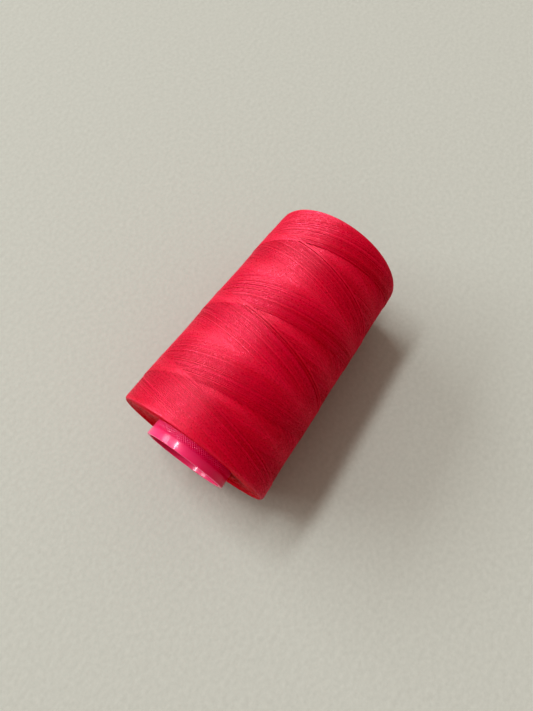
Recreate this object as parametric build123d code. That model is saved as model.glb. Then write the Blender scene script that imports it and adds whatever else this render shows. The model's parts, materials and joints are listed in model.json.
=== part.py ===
"""A king-size spool of sewing thread, lying on its side as it rests on a table.

Two pieces: the moulded tapered core tube, and the thread wound on it as one closed package.
Lengths are in millimetres. Both pieces are turned about the spool's own axis, where s runs
from the base rim of the thread (s = 0) towards the small end, and are then laid down so
that the package rests on z = 0 along its lowest line.
"""

import os
from math import atan2, cos, degrees

from build123d import *

# Thread package
PACKAGE_LENGTH = 104.0      # between the planes of its two rims
BASE_RADIUS = 33.1          # at the base rim, before the corner is rounded
TOP_RADIUS = 29.3           # at the top rim
BASE_CORNER = 1.3           # rounding of the base rim
TOP_CORNER = 1.25           # rounding of the top rim
BASE_DISH = 1.3             # how far the base face sinks from the rim to the tube
TOP_DISH = 1.0
END_FLAT = 2.0              # width of each end face beside the rim before the dish starts

# Core tube
TUBE_RADIUS = 17.9          # outside, at its base end
TUBE_BASE_OUT = 5.2         # how far it stands out of the base rim's plane
TUBE_TOP_OUT = 4.0          # how far it stands out of the top rim's plane
BASE_BORE_RADIUS = 16.4     # straight land inside the base end
TOP_BORE_RADIUS = 12.6      # straight land inside the top end
LAND_LENGTH = 6.0           # straight wall of each land, past the rounded mouth
MOUTH_ROUND = 0.3           # inner edge of each mouth
BASE_EDGE_ROUND = 0.3       # outer edge of the base ring
TOP_EDGE_ROUND = 0.6        # outer edge of the nose

# Worked out: tube and package share one taper, so the winding is equally thick all along
SLOPE = (BASE_RADIUS - TOP_RADIUS) / PACKAGE_LENGTH
TAPER = atan2(BASE_RADIUS - TOP_RADIUS, PACKAGE_LENGTH)
TUBE_START = -TUBE_BASE_OUT
TUBE_END = PACKAGE_LENGTH + TUBE_TOP_OUT


def tube_outside(s):
    """Outer radius of the tube at s."""
    return TUBE_RADIUS - SLOPE * (s - TUBE_START)


def rounded(profile, corner, radius):
    """The profile with the corner nearest to the given point rounded off."""
    nearest = min(profile.vertices(), key=lambda v: (Vector(v) - Vector(*corner)).length)
    return fillet(nearest, radius)


def turned(profile):
    """The solid that a half profile sweeps in one full turn about the spool's axis."""
    return revolve(profile, Axis.X, 360)


def core_tube():
    """A thin open tube: tapered outside, and inside a cone between two straight lands."""
    base_land_end = TUBE_START + MOUTH_ROUND + LAND_LENGTH
    top_land_start = TUBE_END - MOUTH_ROUND - LAND_LENGTH
    outline = [
        (TUBE_START, BASE_BORE_RADIUS),
        (TUBE_START, tube_outside(TUBE_START)),
        (TUBE_END, tube_outside(TUBE_END)),
        (TUBE_END, TOP_BORE_RADIUS),
        (top_land_start, TOP_BORE_RADIUS),
        (base_land_end, BASE_BORE_RADIUS),
    ]
    profile = make_face(Polyline(*outline, close=True))
    profile = rounded(profile, outline[0], MOUTH_ROUND)
    profile = rounded(profile, outline[1], BASE_EDGE_ROUND)
    profile = rounded(profile, outline[2], TOP_EDGE_ROUND)
    profile = rounded(profile, outline[3], MOUTH_ROUND)
    return turned(profile)


def thread_package():
    """The wound thread: a cone with rounded rims and slightly dished ends, around the tube."""
    base_inner, top_inner = BASE_DISH, PACKAGE_LENGTH - TOP_DISH
    outline = [
        (base_inner, tube_outside(base_inner)),
        (0, BASE_RADIUS - BASE_CORNER - END_FLAT),
        (0, BASE_RADIUS),
        (PACKAGE_LENGTH, TOP_RADIUS),
        (PACKAGE_LENGTH, TOP_RADIUS - TOP_CORNER - END_FLAT),
        (top_inner, tube_outside(top_inner)),
    ]
    profile = make_face(Polyline(*outline, close=True))
    profile = rounded(profile, outline[2], BASE_CORNER)
    profile = rounded(profile, outline[3], TOP_CORNER)
    return turned(profile)


def laid_down(piece):
    """The piece tipped by the taper, so that the package's lowest line is level."""
    return Rot(0, degrees(TAPER), 0) * piece


tube = laid_down(core_tube())
package = laid_down(thread_package())

# The tube is the longer piece at both ends, so its box gives the middle of the spool's length
middle = tube.bounding_box().center().X
onto_the_table = Pos(-middle, 0, BASE_RADIUS * cos(TAPER))
spool = {"core_tube": onto_the_table * tube, "thread_package": onto_the_table * package}

os.makedirs("parts", exist_ok=True)
for node, solid in spool.items():
    export_step(solid, f"parts/{node}.step")
    box = solid.bounding_box()
    print(node, "volume", round(solid.volume), "from", box.min, "to", box.max)
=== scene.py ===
import json
import math

import bpy
import numpy as np
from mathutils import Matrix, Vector


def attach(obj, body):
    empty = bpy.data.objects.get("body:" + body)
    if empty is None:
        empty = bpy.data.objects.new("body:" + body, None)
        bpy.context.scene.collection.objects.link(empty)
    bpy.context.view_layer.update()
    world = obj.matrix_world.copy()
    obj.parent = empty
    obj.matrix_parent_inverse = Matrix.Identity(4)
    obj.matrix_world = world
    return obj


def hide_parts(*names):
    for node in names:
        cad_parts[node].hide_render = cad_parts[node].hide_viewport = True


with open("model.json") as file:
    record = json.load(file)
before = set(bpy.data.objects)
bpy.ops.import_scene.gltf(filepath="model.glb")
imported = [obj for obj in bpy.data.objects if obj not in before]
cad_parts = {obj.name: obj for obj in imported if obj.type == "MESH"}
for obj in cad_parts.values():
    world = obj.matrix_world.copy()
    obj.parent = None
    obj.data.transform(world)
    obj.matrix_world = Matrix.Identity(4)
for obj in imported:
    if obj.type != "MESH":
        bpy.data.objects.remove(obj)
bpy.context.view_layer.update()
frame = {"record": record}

# A king-size spool of sewing thread lying on a pale table.
#
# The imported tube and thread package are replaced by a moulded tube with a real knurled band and
# by the thread itself: one continuous strand, cross-wound over the last layers of the package.
# Lengths are in metres. A place on the spool is (s, radius, turn): s runs along the spool's own
# axis from the base rim's plane, and turn counts round it from the top, by the right-hand rule.

MM = 0.001

# ---------------------------------------------------------------- dimensions, as in the CAD

PACKAGE_LENGTH = 104 * MM
BASE_RADIUS = 33.1 * MM
TOP_RADIUS = 29.3 * MM
BASE_CORNER = 1.3 * MM
TOP_CORNER = 1.25 * MM
BASE_DISH = 1.3 * MM
TOP_DISH = 1.0 * MM
END_FLAT = 2.0 * MM          # width of each end face beside the rim before the dish starts
TUBE_RADIUS = 17.9 * MM
TUBE_BASE_OUT = 5.2 * MM
TUBE_TOP_OUT = 4.0 * MM
MOUTH_ROUND = 0.3 * MM
BASE_EDGE_ROUND = 0.3 * MM
TOP_EDGE_ROUND = 0.6 * MM

SLOPE = (BASE_RADIUS - TOP_RADIUS) / PACKAGE_LENGTH
TUBE_START = -TUBE_BASE_OUT
TUBE_END = PACKAGE_LENGTH + TUBE_TOP_OUT

# The spool's axis, from the frame's mounts
MOUNTS = {mount["name"]: mount for mount in frame["record"]["mounts"]}
BASE_BORE_RADIUS = MOUNTS["base_bore"]["dims"]["r_mm"] * MM
TOP_BORE_RADIUS = MOUNTS["top_bore"]["dims"]["r_mm"] * MM
LAND_LENGTH = MOUNTS["base_bore"]["dims"]["length_mm"] * MM
AXIS = -np.array(MOUNTS["base_bore"]["axis"], float)
AXIS /= np.linalg.norm(AXIS)
SIDE = np.array([0.0, -1.0, 0.0])
UP = np.cross(SIDE, AXIS)
MOUTH = np.array(MOUNTS["base_rim"]["pos_m"], float) * [1, 0, 1]
RIM = MOUTH + TUBE_BASE_OUT * AXIS


def outwards(turn):
    """Unit directions away from the axis, from an array of turns."""
    angle = 2 * np.pi * turn
    return np.cos(angle)[..., None] * UP + np.sin(angle)[..., None] * SIDE


def at(s, radius, turn):
    """Points in the row frame from places on the spool, given as numbers or equal arrays."""
    s, radius, turn = np.broadcast_arrays(*(np.asarray(v, float) for v in (s, radius, turn)))
    return RIM + s[..., None] * AXIS + radius[..., None] * outwards(turn)


def package_radius(s):
    """Outside of the package's cone at s."""
    return BASE_RADIUS - SLOPE * s


def tube_outside(s):
    """Outside of the tube's cone at s."""
    return TUBE_RADIUS - SLOPE * (s - TUBE_START)


# ---------------------------------------------------------------- mesh helpers

BAKE_MAP = "OFBake"          # the UV map that the strands' textures can be baked through
BAKE_MARGIN = 0.1            # share of a row of that map left free on both sides of the strands


def mesh_object(name, points, quads, caps=(), maps=None):
    """A smooth-shaded mesh of quads, with any end caps as one face each. maps gives each UV
    map's name and its (corner, 2) values, quads first."""
    mesh = bpy.data.meshes.new(name)
    corners = np.concatenate([np.ravel(quads), *[np.ravel(cap) for cap in caps]]).astype(np.int32)
    sizes = np.array([4] * len(quads) + [len(cap) for cap in caps], np.int32)
    mesh.vertices.add(len(points))
    mesh.vertices.foreach_set("co", np.ravel(points).astype(np.float32))
    mesh.loops.add(len(corners))
    mesh.loops.foreach_set("vertex_index", corners)
    mesh.polygons.add(len(sizes))
    starts = np.concatenate([[0], np.cumsum(sizes)[:-1]]).astype(np.int32)
    mesh.polygons.foreach_set("loop_start", starts)
    mesh.polygons.foreach_set("use_smooth", np.ones(len(sizes), bool))
    mesh.update(calc_edges=True)
    for title, values in (maps or {}).items():
        mesh.uv_layers.new(name=title).data.foreach_set("uv", np.ravel(values).astype(np.float32))
    mesh.validate()
    piece = bpy.data.objects.new(name, mesh)
    bpy.context.scene.collection.objects.link(piece)
    return piece


def turned(name, profile, columns, lift=None):
    """A closed loop of (s, radius) turned about the axis. It runs towards the small end on its
    outer side. lift(s, radius, turn) is added to the radius."""
    profile = np.array(profile)
    turn = np.arange(columns) / columns
    s, t = np.meshgrid(profile[:, 0], turn, indexing="ij")
    radius = np.repeat(profile[:, 1][:, None], columns, axis=1)
    if lift is not None:
        radius = radius + lift(s, radius, t)
    points = at(s, radius, t).reshape(-1, 3)
    rows = len(profile)
    i, j = np.meshgrid(np.arange(rows), np.arange(columns), indexing="ij")
    i2, j2 = (i + 1) % rows, (j + 1) % columns
    quads = np.stack([i * columns + j, i * columns + j2, i2 * columns + j2, i2 * columns + j], -1)
    return mesh_object(name, points, quads.reshape(-1, 4))


def arc(centre, radius, start, end, steps):
    """Points of an arc in the (s, radius) plane, angles in degrees from +s towards +radius."""
    angles = np.radians(np.linspace(start, end, steps))
    return [(centre[0] + radius * math.cos(a), centre[1] + radius * math.sin(a)) for a in angles]


def strands(name, lines, outward, radii, sides, row):
    """Closed tubes along lines (strand, point, xyz). outward is one direction, or one for each
    point, that keeps the sections from twisting; radii is one number or (strand, point). The
    map "thread" holds millimetres along the strand and the share of the way round it. The map
    for baking lays the strands end to end in straight rows, each of them row segments long."""
    along = np.gradient(lines, axis=1)
    along /= np.linalg.norm(along, axis=2, keepdims=True)
    across = outward - np.sum(outward * along, axis=2, keepdims=True) * along
    across /= np.linalg.norm(across, axis=2, keepdims=True)
    beside = np.cross(along, across)
    radii = np.broadcast_to(radii, lines.shape[:2])[:, :, None, None]
    angle = 2 * np.pi * np.arange(sides) / sides
    ring = np.cos(angle)[:, None] * across[:, :, None] + np.sin(angle)[:, None] * beside[:, :, None]
    points = (lines[:, :, None] + radii * ring).reshape(-1, 3)
    count, length = lines.shape[:2]
    first = np.arange(count)[:, None, None] * length * sides
    i = np.arange(length - 1)[None, :, None]
    j = np.arange(sides)[None, None, :]
    j2 = (j + 1) % sides
    quads = np.stack([first + i * sides + j, first + i * sides + j2,
                      first + (i + 1) * sides + j2, first + (i + 1) * sides + j], -1)
    starts = first[:, 0, 0][:, None] + np.arange(sides)[::-1][None]
    ends = first[:, 0, 0][:, None] + (length - 1) * sides + np.arange(sides)[None]

    step = np.linalg.norm(np.diff(lines, axis=1), axis=2)
    run = np.concatenate([np.zeros((count, 1)), np.cumsum(step, axis=1)], axis=1) / MM
    run += (run[:, -1] * np.arange(count))[:, None]      # so that strands differ in tone
    place = np.arange(count * (length - 1)).reshape(count, length - 1, 1)
    near, far, low, high, left, floor = np.broadcast_arrays(
        run[:, :-1, None], run[:, 1:, None], j / sides, (j + 1) / sides,
        (place % row) / row, place // row + BAKE_MARGIN)
    right = left + 1 / row
    rows = math.ceil(count * (length - 1) / row)
    lower, upper = ((floor + (1 - 2 * BAKE_MARGIN) * way_round) / rows for way_round in (low, high))
    maps = {"thread": [[near, low], [near, high], [far, high], [far, low]],
            BAKE_MAP: [[left, lower], [left, upper], [right, upper], [right, lower]]}
    for title, corners in maps.items():
        quad_corners = np.stack([np.stack(pair, -1) for pair in corners], -2).reshape(-1, 2)
        cap_corners = np.tile(quad_corners[:1], (2 * count * sides, 1))
        maps[title] = np.concatenate([quad_corners, cap_corners])
    return mesh_object(name, points, quads.reshape(-1, 4), [*starts, *ends], maps)


def smooth_noise(rng, length, spacing):
    """A random curve between -1 and 1, with a turning point every spacing samples or so."""
    values = rng.uniform(-1, 1, int(length / spacing) + 4)
    place = np.arange(length) / spacing
    i = place.astype(int)
    f = place - i
    f = f * f * (3 - 2 * f)
    return values[i] * (1 - f) + values[i + 1] * f


# ---------------------------------------------------------------- materials

STREAK_LENGTH = 120.0        # millimetres of thread over which its tone changes
SLUB_LENGTH = 3.0            # millimetres of thread over which its fibres bunch and thin out
PLY_LENGTH = 1.3             # millimetres in one full twist of the two plies
FLUFF_SIZE = 0.75            # millimetres across a tuft of the surface's fine fibres
PAINTED_FLANK_SHADE = 0.72           # share of the colour left at the sides of a strand, as painted shade
PAINTED_GROOVE_SHADE = 0.84          # share of the colour left in the groove between the plies, as painted shade
THREAD_SMOOTHEST, THREAD_ROUGHEST = 0.24, 0.58
WHITE = (1, 1, 1, 1)


def grey(share):
    """An opaque grey."""
    return (share, share, share, 1)


def material(name, **sockets):
    """A new material and its Principled shader, with sockets set by their names."""
    made = bpy.data.materials.new(name)
    made.use_nodes = True
    shader = made.node_tree.nodes["Principled BSDF"]
    for socket, value in sockets.items():
        shader.inputs[socket.replace("_", " ")].default_value = value
    return made, shader


def node(tree, kind, inputs=None, **settings):
    """A new node with its settings, and with its inputs set or linked."""
    made = tree.nodes.new(kind)
    for key, value in settings.items():
        setattr(made, key, value)
    for key, value in (inputs or {}).items():
        if isinstance(value, bpy.types.NodeSocket):
            tree.links.new(value, made.inputs[key])
        else:
            made.inputs[key].default_value = value
    return made


def ramp(tree, factor, stops):
    """A colour ramp through (position, colour) stops."""
    made = node(tree, "ShaderNodeValToRGB", {"Fac": factor})
    elements = made.color_ramp.elements
    while len(elements) < len(stops):
        elements.new(0.5)
    for element, (position, colour) in zip(elements, stops):
        element.position = position
        element.color = colour
    return made.outputs["Color"]


def multiplied(tree, first, second):
    """The product of two colours."""
    mixed = node(tree, "ShaderNodeMix", {0: 1.0, 6: first, 7: second}, data_type="RGBA",
                 blend_type="MULTIPLY")
    return mixed.outputs[2]


def thread_material(name, dark, light, satin, gloss):
    """Spun polyester with a satin gloss: the red changes a little along the thread and with the
    bunching of its fibres, and has painted shade towards the sides of each strand and in the
    groove between its two twisted plies."""
    made, shader = material(
        name, Metallic=satin, IOR=1.65, Specular_IOR_Level=gloss,
        Specular_Tint=(1.0, 0.88, 1.0, 1.0))
    tree = made.node_tree
    thread = node(tree, "ShaderNodeUVMap", uv_map="thread")
    parts = node(tree, "ShaderNodeSeparateXYZ", {"Vector": thread.outputs["UV"]})
    run, way_round = parts.outputs["X"], parts.outputs["Y"]
    length = node(tree, "ShaderNodeMath", {0: run, 1: 1 / STREAK_LENGTH}, operation="MULTIPLY")
    streak = node(tree, "ShaderNodeTexNoise", {"W": length.outputs[0], "Scale": 1.0, "Detail": 2.0},
                  noise_dimensions="1D")
    tone = ramp(tree, streak.outputs["Fac"], [(0.3, (*dark, 1.0)), (0.7, (*light, 1.0))])
    short = node(tree, "ShaderNodeMath", {0: run, 1: 1 / SLUB_LENGTH}, operation="MULTIPLY")
    bunch = node(tree, "ShaderNodeTexNoise",
                 {"W": short.outputs[0], "Scale": 1.0, "Detail": 3.0, "Roughness": 0.7},
                 noise_dimensions="1D")
    slub = ramp(tree, bunch.outputs["Fac"], [(0.35, (0.8, 0.66, 0.66, 1)), (0.58, WHITE)])
    place = node(tree, "ShaderNodeTexCoord").outputs["Object"]
    fluff = node(tree, "ShaderNodeTexNoise",
                 {"Vector": place, "Scale": 1000 / FLUFF_SIZE, "Detail": 1.0})
    grain = ramp(tree, fluff.outputs["Fac"], [(0.35, (0.9, 0.8, 0.8, 1)), (0.65, WHITE)])
    around = node(tree, "ShaderNodeMath", {0: way_round, 1: 2 * math.pi}, operation="MULTIPLY")
    facing = node(tree, "ShaderNodeMath", {0: around.outputs[0]}, operation="COSINE")
    # Painted shade: the colour darkens towards the sides of each strand
    shade = ramp(tree, facing.outputs[0], [(0.0, grey(PAINTED_FLANK_SHADE)), (0.85, WHITE)])
    lay = node(tree, "ShaderNodeMath", {0: run, 1: 2 * math.pi / PLY_LENGTH}, operation="MULTIPLY")
    both = node(tree, "ShaderNodeMath", {0: around.outputs[0], 1: lay.outputs[0]},
                operation="SUBTRACT")
    twice = node(tree, "ShaderNodeMath", {0: both.outputs[0], 1: 2.0}, operation="MULTIPLY")
    ply = node(tree, "ShaderNodeMath", {0: twice.outputs[0]}, operation="COSINE")
    # Painted shade: the colour darkens in the groove between the two plies
    painted_groove_shade = ramp(tree, ply.outputs[0], [(0.0, grey(PAINTED_GROOVE_SHADE)), (0.5, WHITE)])
    colour = multiplied(tree, multiplied(tree, tone, slub), multiplied(tree, shade, painted_groove_shade))
    colour = multiplied(tree, colour, grain)
    tree.links.new(colour, shader.inputs["Base Color"])
    smooth = node(tree, "ShaderNodeMath", {0: bunch.outputs["Fac"], 1: fluff.outputs["Fac"]},
                  operation="MULTIPLY")
    rough = node(tree, "ShaderNodeMapRange",
                 {"Value": smooth.outputs[0], "From Min": 0.15, "From Max": 0.36,
                  "To Min": THREAD_ROUGHEST, "To Max": THREAD_SMOOTHEST})
    tree.links.new(rough.outputs["Result"], shader.inputs["Roughness"])
    tufts = node(tree, "ShaderNodeBump", {"Height": fluff.outputs["Fac"], "Strength": 0.6,
                                          "Distance": 0.0001})
    bump = node(tree, "ShaderNodeBump", {"Height": ply.outputs[0], "Strength": 0.5,
                                         "Distance": 0.00003, "Normal": tufts.outputs["Normal"]})
    tree.links.new(bump.outputs["Normal"], shader.inputs["Normal"])
    return made


def under_material():
    """The thread below the outermost layers, much darker than the outer thread as painted shade."""
    made, shader = material("thread_under", Roughness=0.7)
    tree = made.node_tree
    place = node(tree, "ShaderNodeTexCoord").outputs["Object"]
    patches = node(tree, "ShaderNodeTexNoise", {"Vector": place, "Scale": 900.0, "Detail": 3.0})
    # Painted shade: a far darker red than the visible thread's, where little light reaches
    colour = ramp(tree, patches.outputs["Fac"],
                  [(0.3, (0.26, 0.001, 0.008, 1)), (0.7, (0.42, 0.004, 0.016, 1))])
    tree.links.new(colour, shader.inputs["Base Color"])
    return made


def plastic_material(name, smoothest, roughest, coat):
    """Hot pink moulded plastic with a faint ripple from the mould. Its roughness varies
    between two values, and coat is the share of a sharper gloss over it."""
    made, shader = material(
        name, IOR=1.5, Subsurface_Weight=0.25, Subsurface_Scale=0.002,
        Subsurface_Radius=(1.0, 0.25, 0.3), Coat_Weight=coat, Coat_Roughness=0.11)
    tree = made.node_tree
    place = node(tree, "ShaderNodeTexCoord").outputs["Object"]
    cloud = node(tree, "ShaderNodeTexNoise", {"Vector": place, "Scale": 90.0, "Detail": 4.0})
    colour = ramp(tree, cloud.outputs["Fac"],
                  [(0.3, (0.68, 0.045, 0.165, 1)), (0.7, (0.78, 0.065, 0.215, 1))])
    tree.links.new(colour, shader.inputs["Base Color"])
    gloss = node(tree, "ShaderNodeTexNoise", {"Vector": place, "Scale": 700.0, "Detail": 5.0})
    rough = node(tree, "ShaderNodeMapRange",
                 {"Value": gloss.outputs["Fac"], "To Min": smoothest, "To Max": roughest})
    tree.links.new(rough.outputs["Result"], shader.inputs["Roughness"])
    ripple = node(tree, "ShaderNodeTexNoise", {"Vector": place, "Scale": 320.0, "Detail": 2.0})
    bump = node(tree, "ShaderNodeBump", {"Height": ripple.outputs["Fac"], "Strength": 0.05,
                                         "Distance": 0.0002})
    tree.links.new(bump.outputs["Normal"], shader.inputs["Normal"])
    return made


def table_material():
    """A pale painted table top with a fine eggshell texture."""
    made, shader = material("table", Roughness=0.75, Specular_IOR_Level=0.3)
    tree = made.node_tree
    place = node(tree, "ShaderNodeTexCoord").outputs["Object"]
    cloud = node(tree, "ShaderNodeTexNoise", {"Vector": place, "Scale": 500.0, "Detail": 2.0})
    colour = ramp(tree, cloud.outputs["Fac"],
                  [(0.3, (0.408, 0.402, 0.376, 1)), (0.7, (0.436, 0.429, 0.401, 1))])
    tree.links.new(colour, shader.inputs["Base Color"])
    peel = node(tree, "ShaderNodeTexNoise", {"Vector": place, "Scale": 420.0, "Detail": 2.0})
    bump = node(tree, "ShaderNodeBump", {"Height": peel.outputs["Fac"], "Strength": 0.25,
                                         "Distance": 0.0004})
    tree.links.new(bump.outputs["Normal"], shader.inputs["Normal"])
    return made


# ---------------------------------------------------------------- the tube

KNURL_COLUMNS = 108          # bumps round the tube
KNURL_ROW = 0.58 * MM        # from one staggered row to the next
KNURL_HEIGHT = 0.24 * MM     # from the valleys between the bumps to their tops
RING_LENGTH = 3.5 * MM       # smooth ring at the base end
KNURL_ROWS = 11
KNURL_FADE = 2.0             # rows over which the bumps fade in at each end of the band
KNURL_POINTEDNESS = 1.6      # above 1 narrows the bumps
KNURL_START = TUBE_START + RING_LENGTH
KNURL_END = KNURL_START + KNURL_ROWS * KNURL_ROW
COLUMNS_PER_BUMP = 8
STEPS_PER_ROW = 5
BORE_STEPS = 18              # rings of the bore between its two lands
COVERED_STEPS = 14           # rings of the plain outside, most of it under the thread


def knurl(s, radius, turn):
    """Height of the staggered bumps, cut down into the tube, which fade in at both ends."""
    wave = np.cos(2 * np.pi * KNURL_COLUMNS * turn) * np.cos(np.pi * (s - KNURL_START) / KNURL_ROW)
    bump = np.clip(0.5 + 0.5 * wave, 0, 1) ** KNURL_POINTEDNESS
    fade = np.clip(np.minimum(s - KNURL_START, KNURL_END - s) / (KNURL_FADE * KNURL_ROW), 0, 1)
    outside = radius > tube_outside(s) - KNURL_HEIGHT
    return np.where(outside, fade * (bump - 1) * KNURL_HEIGHT, 0.0)


def core_tube():
    """The whole tube as one closed skin."""
    outer_start, outer_end = tube_outside(TUBE_START), tube_outside(TUBE_END)
    edge = (TUBE_START + BASE_EDGE_ROUND, outer_start - BASE_EDGE_ROUND)
    mouth = (TUBE_START + MOUTH_ROUND, BASE_BORE_RADIUS + MOUTH_ROUND)
    # Points close to both edges of the smooth ring keep its shading flat
    close = 0.06 * MM
    ring = [edge[0] + close, (edge[0] + KNURL_START) / 2, KNURL_START - close]
    band = np.linspace(KNURL_START, KNURL_END, KNURL_ROWS * STEPS_PER_ROW + 1)
    covered = np.linspace(KNURL_END + 4 * MM, TUBE_END - 2 * MM, COVERED_STEPS)
    profile = arc(mouth, MOUTH_ROUND, 270, 180, 5)
    profile += arc(edge, BASE_EDGE_ROUND, 180, 90, 5)
    profile += [(s, tube_outside(s)) for s in (*ring, *band, *covered)]
    profile += arc((TUBE_END - TOP_EDGE_ROUND, outer_end - TOP_EDGE_ROUND), TOP_EDGE_ROUND, 90, 0, 6)
    profile += arc((TUBE_END - MOUTH_ROUND, TOP_BORE_RADIUS + MOUTH_ROUND), MOUTH_ROUND, 0, -90, 5)
    top_land = TUBE_END - MOUTH_ROUND - LAND_LENGTH
    base_land = TUBE_START + MOUTH_ROUND + LAND_LENGTH
    places = np.linspace(top_land, base_land, BORE_STEPS)
    radii = np.linspace(TOP_BORE_RADIUS, BASE_BORE_RADIUS, BORE_STEPS)
    profile += list(zip(places, radii))
    columns = KNURL_COLUMNS * COLUMNS_PER_BUMP
    tube = turned("core_tube_moulding", profile, columns, knurl)
    number = np.arange(len(profile))
    between_lands = (number >= len(profile) - BORE_STEPS) & (number < len(profile) - 1)
    tube.data.polygons.foreach_set("material_index", np.repeat(between_lands, columns))
    return tube


# ---------------------------------------------------------------- the thread

THREAD_RADIUS = 0.135 * MM
THREAD_SIDES = 6
PROUD = 1.1                  # strand radii between the table and the axis of a strand on it
STROKES = 240                # passes from one end to the other in the outermost cycle
REVERSAL = 0.02              # turns over which the thread swings round, each side of a rim
RINGS_PER_STROKE = 216
CYCLE_BUILD = 0.5 * MM       # how much the package grows in one whole cycle
START_TURN = -0.541          # where the cycle's first stroke leaves the base rim
WINDING_PIECES = 4
RIM_GAP = 0.05 * MM          # from a rim's plane to the thread that turns round there
STRAY = 0.13 * MM            # how far the thread strays from its perfect line
STRAY_WAVES = (19, 160)      # rings between turning points of its quick and slow straying
LIFT_WAVE = 11               # and those of its rise and fall
THICKNESS_WAVE = 5           # and those of its thickness
SETTLED = 2 / 3              # share of the cycle's build that lies below the CAD's surface

# A little over three turns, so each stroke lands beside the last one that ran the same way
TURNS_PER_STROKE = 3 + 1 / STROKES


def on_the_table(points):
    """Points with the ones under the table top raised, as the soft package flattens there."""
    points[..., 2] = np.maximum(points[..., 2], PROUD * THREAD_RADIUS)
    return points


def winding():
    """The outermost cycle of the winding as a few pieces of one continuous thread."""
    rng = np.random.default_rng(7)
    # A stroke runs from rim to rim at a steady pace, but eases off where it nears or leaves one
    travel = TURNS_PER_STROKE - 2 * REVERSAL
    fraction = np.arange(RINGS_PER_STROKE) / RINGS_PER_STROKE
    local = -REVERSAL + TURNS_PER_STROKE * fraction
    soft = np.where(local < REVERSAL, (local + REVERSAL) ** 2 / (4 * REVERSAL), local)
    left = travel - local
    soft = np.where(left < REVERSAL, travel - (left + REVERSAL) ** 2 / (4 * REVERSAL), soft)
    reach = soft / travel
    stroke = np.arange(STROKES + 1)
    share = np.where(stroke[:, None] % 2 == 0, reach, 1 - reach)
    turn = START_TURN + TURNS_PER_STROKE * (stroke[:, None] + fraction)
    order = (stroke[:, None] + fraction) / STROKES
    share, turn, order = (v.reshape(-1) for v in (share, turn, order))
    length = len(share)
    inset = THREAD_RADIUS + RIM_GAP
    quick, slow = (smooth_noise(rng, length, wave) for wave in STRAY_WAVES)
    stray = STRAY * (0.2 * quick + slow)
    s = inset + (PACKAGE_LENGTH - 2 * inset) * share
    s = s + stray * np.clip(np.minimum(share, 1 - share) / 0.03, 0, 1)
    lift = CYCLE_BUILD * (order - SETTLED) + 0.07 * STRAY * smooth_noise(rng, length, LIFT_WAVE)
    radius = package_radius(s) - THREAD_RADIUS + lift - rim_drop(s)
    lines = on_the_table(at(s, radius, turn))
    outward = outwards(turn)
    thickness = THREAD_RADIUS * (1 + 0.09 * smooth_noise(rng, length, THICKNESS_WAVE))
    pieces = []
    per_piece = STROKES // WINDING_PIECES * RINGS_PER_STROKE
    for number in range(WINDING_PIECES):
        part = slice(number * per_piece, (number + 1) * per_piece + 1)
        pieces.append(strands(f"thread_winding_{number + 1}", lines[None, part], outward[None, part],
                              thickness[None, part], THREAD_SIDES, RINGS_PER_STROKE // 3))
    return pieces


def rim_drop(s):
    """How far the rounded rims fall below the cone."""
    drop = np.zeros_like(s)
    for corner, distance in ((BASE_CORNER, s), (TOP_CORNER, PACKAGE_LENGTH - s)):
        inside = np.clip(1 - distance / corner, 0, 1)
        drop = drop + corner * (1 - np.sqrt(1 - inside ** 2))
    return drop


def package_core():
    """The layers under the outermost cycle: a closed body just below the visible thread."""
    depth = 0.62 * MM
    sink = 0.3 * MM
    top = PACKAGE_LENGTH - sink
    base_middle = (sink + BASE_CORNER, BASE_RADIUS - depth - BASE_CORNER)
    top_middle = (PACKAGE_LENGTH - TOP_CORNER - sink, TOP_RADIUS - depth - TOP_CORNER)
    profile = [(BASE_DISH + sink, tube_outside(BASE_DISH)), (sink, BASE_RADIUS - BASE_CORNER - END_FLAT)]
    profile += arc(base_middle, BASE_CORNER, 180, 90, 8)
    sides = np.linspace(4 * MM, PACKAGE_LENGTH - 4 * MM, 49)
    profile += [(s, package_radius(s) - depth) for s in sides]
    profile += arc(top_middle, TOP_CORNER, 90, 0, 8)
    profile += [(top, TOP_RADIUS - TOP_CORNER - END_FLAT)]
    profile += [(top - TOP_DISH, tube_outside(PACKAGE_LENGTH - TOP_DISH))]
    return turned("thread_under_layers", profile, 192)


END_ARC_POINTS = 13
END_ARC_TURNS = 0.17         # how much of a turn shows before the thread dips under
END_STEP = 0.23 * MM         # from one visible arc to the next, outwards
END_COVER = 1.9              # turns of thread in each row, so that neighbours overlap
END_LEAN = 0.5 * MM          # how far an arc's ends lean inwards or outwards at most
END_BOW = 0.35 * MM          # how far both its ends bend inwards or outwards besides
END_SPREAD = 0.12 * MM       # how much deeper than its neighbours an arc lies at most
END_DIP = 0.45 * MM          # how far its ends dip under the others
ROUND_THE_RIM = 1.2          # radians of the rounded rim that the arcs cover too
RIM_SINK = 0.1 * MM          # how far the arcs on the rounded rim lie below it


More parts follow.
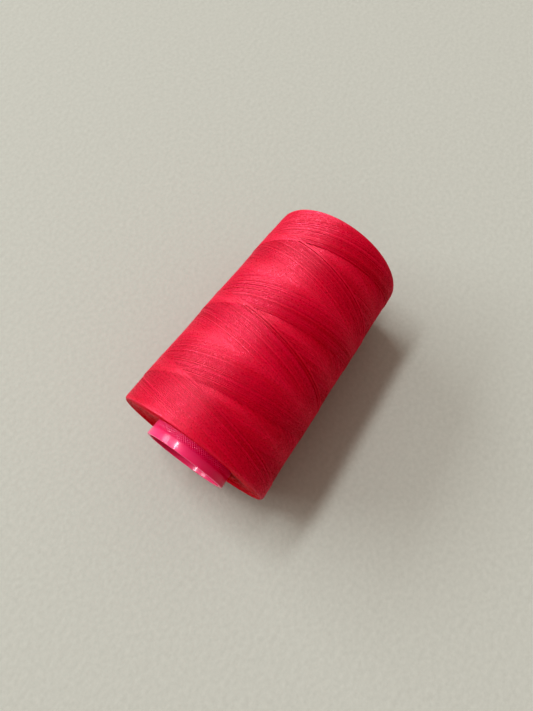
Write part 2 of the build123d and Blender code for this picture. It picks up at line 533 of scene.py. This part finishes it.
def end_face(name, top):
    """The thread's turning points, seen on an end face as short arcs that overlap."""
    rng = np.random.default_rng(11 if top else 5)
    plane = PACKAGE_LENGTH if top else 0.0
    sign = -1 if top else 1
    dish, corner = (TOP_DISH, TOP_CORNER) if top else (BASE_DISH, BASE_CORNER)
    rim = (TOP_RADIUS if top else BASE_RADIUS) - corner
    flat = rim - END_FLAT
    tube = tube_outside(plane + sign * dish)
    rows = int((rim - tube + ROUND_THE_RIM * corner) / END_STEP)
    arcs = round(END_COVER / END_ARC_TURNS)
    x = np.linspace(-1, 1, END_ARC_POINTS)      # from one end of an arc to the other
    lines = []
    for row in range(rows):
        radius = tube + THREAD_RADIUS + END_STEP * (row + rng.uniform(-0.2, 0.2))
        bent = max(radius - rim, 0) / corner
        first = rng.uniform()
        for number in range(arcs):
            span = END_ARC_TURNS * rng.uniform(0.8, 1.3)
            middle = first + (number + rng.uniform(-0.25, 0.25)) / arcs
            turn = middle + x * span / 2
            lean = END_LEAN * rng.uniform(-1, 1) * x
            r = radius + END_BOW * x ** 2 * rng.choice([-1, 1]) + lean
            r = np.clip(r, tube + THREAD_RADIUS, rim)
            sunk = dish * np.clip((flat - r) / (flat - tube), 0, 1)
            depth = THREAD_RADIUS + END_SPREAD * rng.uniform() + END_DIP * np.abs(x) ** 3
            r = r + (corner - depth) * math.sin(bent) - RIM_SINK * (bent > 0)
            depth = depth + (corner - depth) * (1 - math.cos(bent))
            lines.append(on_the_table(at(plane + sign * (sunk + depth), r, turn)))
    return strands(name, np.array(lines), -sign * AXIS, THREAD_RADIUS, THREAD_SIDES,
                   8 * (END_ARC_POINTS - 1))


FUZZ_COUNT = 8000
FUZZ_POINTS = 4
FUZZ_RADIUS = 0.011 * MM


def fuzz():
    """Fine fibre ends that stand off the thread."""
    rng = np.random.default_rng(23)
    s = rng.uniform(0.01, 0.99, FUZZ_COUNT) * PACKAGE_LENGTH
    turn = rng.uniform(0, 1, FUZZ_COUNT)
    length = rng.uniform(0.35, 1.3, FUZZ_COUNT) * MM
    heading = rng.uniform(0, 2 * np.pi, FUZZ_COUNT)
    rise = rng.uniform(0.15, 0.75, FUZZ_COUNT)
    curl = rng.uniform(-1.2, 1.2, FUZZ_COUNT)
    x = np.linspace(0, 1, FUZZ_POINTS)[None]
    way = heading[:, None] + curl[:, None] * x
    reach = length[:, None] * x
    radius = package_radius(s)[:, None] - rim_drop(s)[:, None] - 0.15 * MM
    radius = radius + reach * rise[:, None] * (1 - 0.35 * x)
    lines = at(s[:, None] + reach * 0.6 * np.sin(way), radius,
               turn[:, None] + reach * np.cos(way) / (2 * np.pi * BASE_RADIUS))
    # Leaned along the axis, because a fibre may stand straight out
    beside = outwards(turn)[:, None] + 0.31 * AXIS
    return strands("thread_fuzz", on_the_table(lines), beside, FUZZ_RADIUS * (1 - 0.5 * x), 3,
                   60 * (FUZZ_POINTS - 1))


# ---------------------------------------------------------------- camera, light and table


def aim(thing, place, target):
    """Puts a camera or lamp at a place, looking at the target with the row's +Z up."""
    thing.location = place
    thing.rotation_euler = (Vector(target) - Vector(place)).to_track_quat("-Z", "Y").to_euler()


def direction(azimuth, elevation):
    """Unit vector towards a viewpoint. Azimuth 0 looks along +Y, and elevation is up from level."""
    a, e = math.radians(azimuth), math.radians(elevation)
    return np.array([math.sin(a) * math.cos(e), -math.cos(a) * math.cos(e), math.sin(e)])


VIEW_AZIMUTH = -55.0
VIEW_ELEVATION = 71.7
VIEW_DISTANCE = 226.5 * MM
VIEW_TARGET = (-2.95 * MM, -1.4 * MM, 33 * MM)     # a point near the middle of the spool's axis
LENS = 27.85                                       # of a phone's wide camera, on a 36 mm frame


def camera():
    """A phone's wide lens, looking down on the spool past its base end."""
    view = bpy.data.cameras.new("camera")
    view.lens = LENS
    view.sensor_width = 36
    view.clip_start = 0.01
    eye = bpy.data.objects.new("camera", view)
    bpy.context.scene.collection.objects.link(eye)
    target = np.array(VIEW_TARGET)
    aim(eye, target + VIEW_DISTANCE * direction(VIEW_AZIMUTH, VIEW_ELEVATION), target)
    bpy.context.scene.camera = eye


ROOM_AZIMUTH, ROOM_ELEVATION = 180, 50       # towards the room's bright side
ROOM_DARK, ROOM_BRIGHT = 0.37, 0.52
ROOM_COLOUR = (1.0, 0.91, 0.82, 1)
DAYLIGHT = (0.92, 1.0, 1.0)
LAMP_DISTANCE = 20.0
WINDOW_POWER = 2120.0
SKYLIGHT_POWER = 1780.0
BLACK_LEVEL = (0.012, 0.018, 0.019)          # the deep, slightly warm shade of a phone's picture


def lamp(name, azimuth, elevation, width, height, strength):
    """A rectangular soft light of daylight that faces the spool."""
    light = bpy.data.lights.new(name, "AREA")
    light.shape = "RECTANGLE"
    light.size, light.size_y = width, height
    light.energy = strength
    light.color = DAYLIGHT
    holder = bpy.data.objects.new(name, light)
    holder.visible_camera = False
    bpy.context.scene.collection.objects.link(holder)
    middle = np.array([0, 0, 0.03])
    aim(holder, middle + LAMP_DISTANCE * direction(azimuth, elevation), middle)


def studio():
    """Soft daylight from a wide window, a narrow skylight above it, and a pale, warm room that
    is darker on the side away from them."""
    world = bpy.data.worlds.new("room")
    world.use_nodes = True
    tree = world.node_tree
    way = node(tree, "ShaderNodeTexCoord").outputs["Generated"]
    bright_side = tuple(direction(ROOM_AZIMUTH, ROOM_ELEVATION))
    towards = node(tree, "ShaderNodeVectorMath", {0: way, 1: bright_side}, operation="DOT_PRODUCT")
    share = node(tree, "ShaderNodeMapRange",
                 {"Value": towards.outputs["Value"], "From Min": -0.6, "From Max": 1.0,
                  "To Min": ROOM_DARK, "To Max": ROOM_BRIGHT})
    background = tree.nodes["Background"]
    background.inputs["Color"].default_value = ROOM_COLOUR
    tree.links.new(share.outputs["Result"], background.inputs["Strength"])
    bpy.context.scene.world = world
    lamp("window", 190, 30.5, 18.7, 6.3, WINDOW_POWER)
    lamp("skylight", 174, 61, 10.0, 2.0, SKYLIGHT_POWER)
    view = bpy.context.scene.view_settings
    view.view_transform = "Standard"
    view.look = "High Contrast"
    view.use_curve_mapping = True
    view.curve_mapping.black_level = BLACK_LEVEL


def table():
    """The plain pale surface under the spool."""
    half = 60.0
    corners = [(-half, -half, 0), (half, -half, 0), (half, half, 0), (-half, half, 0)]
    top = mesh_object("table", np.array(corners, float), np.array([[0, 1, 2, 3]]))
    top.data.materials.append(table_material())


# ---------------------------------------------------------------- put together

tube = core_tube()
tube.data.materials.append(plastic_material("tube_plastic", 0.28, 0.40, 0.45))
tube.data.materials.append(plastic_material("tube_bore_plastic", 0.5, 0.62, 0.0))
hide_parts("core_tube")
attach(tube, "root")

RED = thread_material("thread_red", (0.73, 0.001, 0.039), (0.90, 0.003, 0.100), 0.25, 0.98)
# The end faces' red is pinker than the thread's as painted sheen, standing in for the grazing gloss
# turned down here
END_RED_PAINTED_SHEEN = thread_material("thread_red_end", (0.68, 0.016, 0.045), (0.92, 0.036, 0.100), 0.0, 0.12)
PAINTED_SHADE_UNDER_RED = under_material()

under = package_core()
wound = winding()
ends = [end_face("thread_base_face", False), end_face("thread_top_face", True)]
hairs = fuzz()
for pieces, look in (([under], PAINTED_SHADE_UNDER_RED), (wound, RED), (ends, END_RED_PAINTED_SHEEN), ([hairs], RED)):
    for piece in pieces:
        piece.data.materials.append(look)
        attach(piece, "root")
for piece in [under, *wound, *ends]:
    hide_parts("thread_package")

camera()
studio()
table()
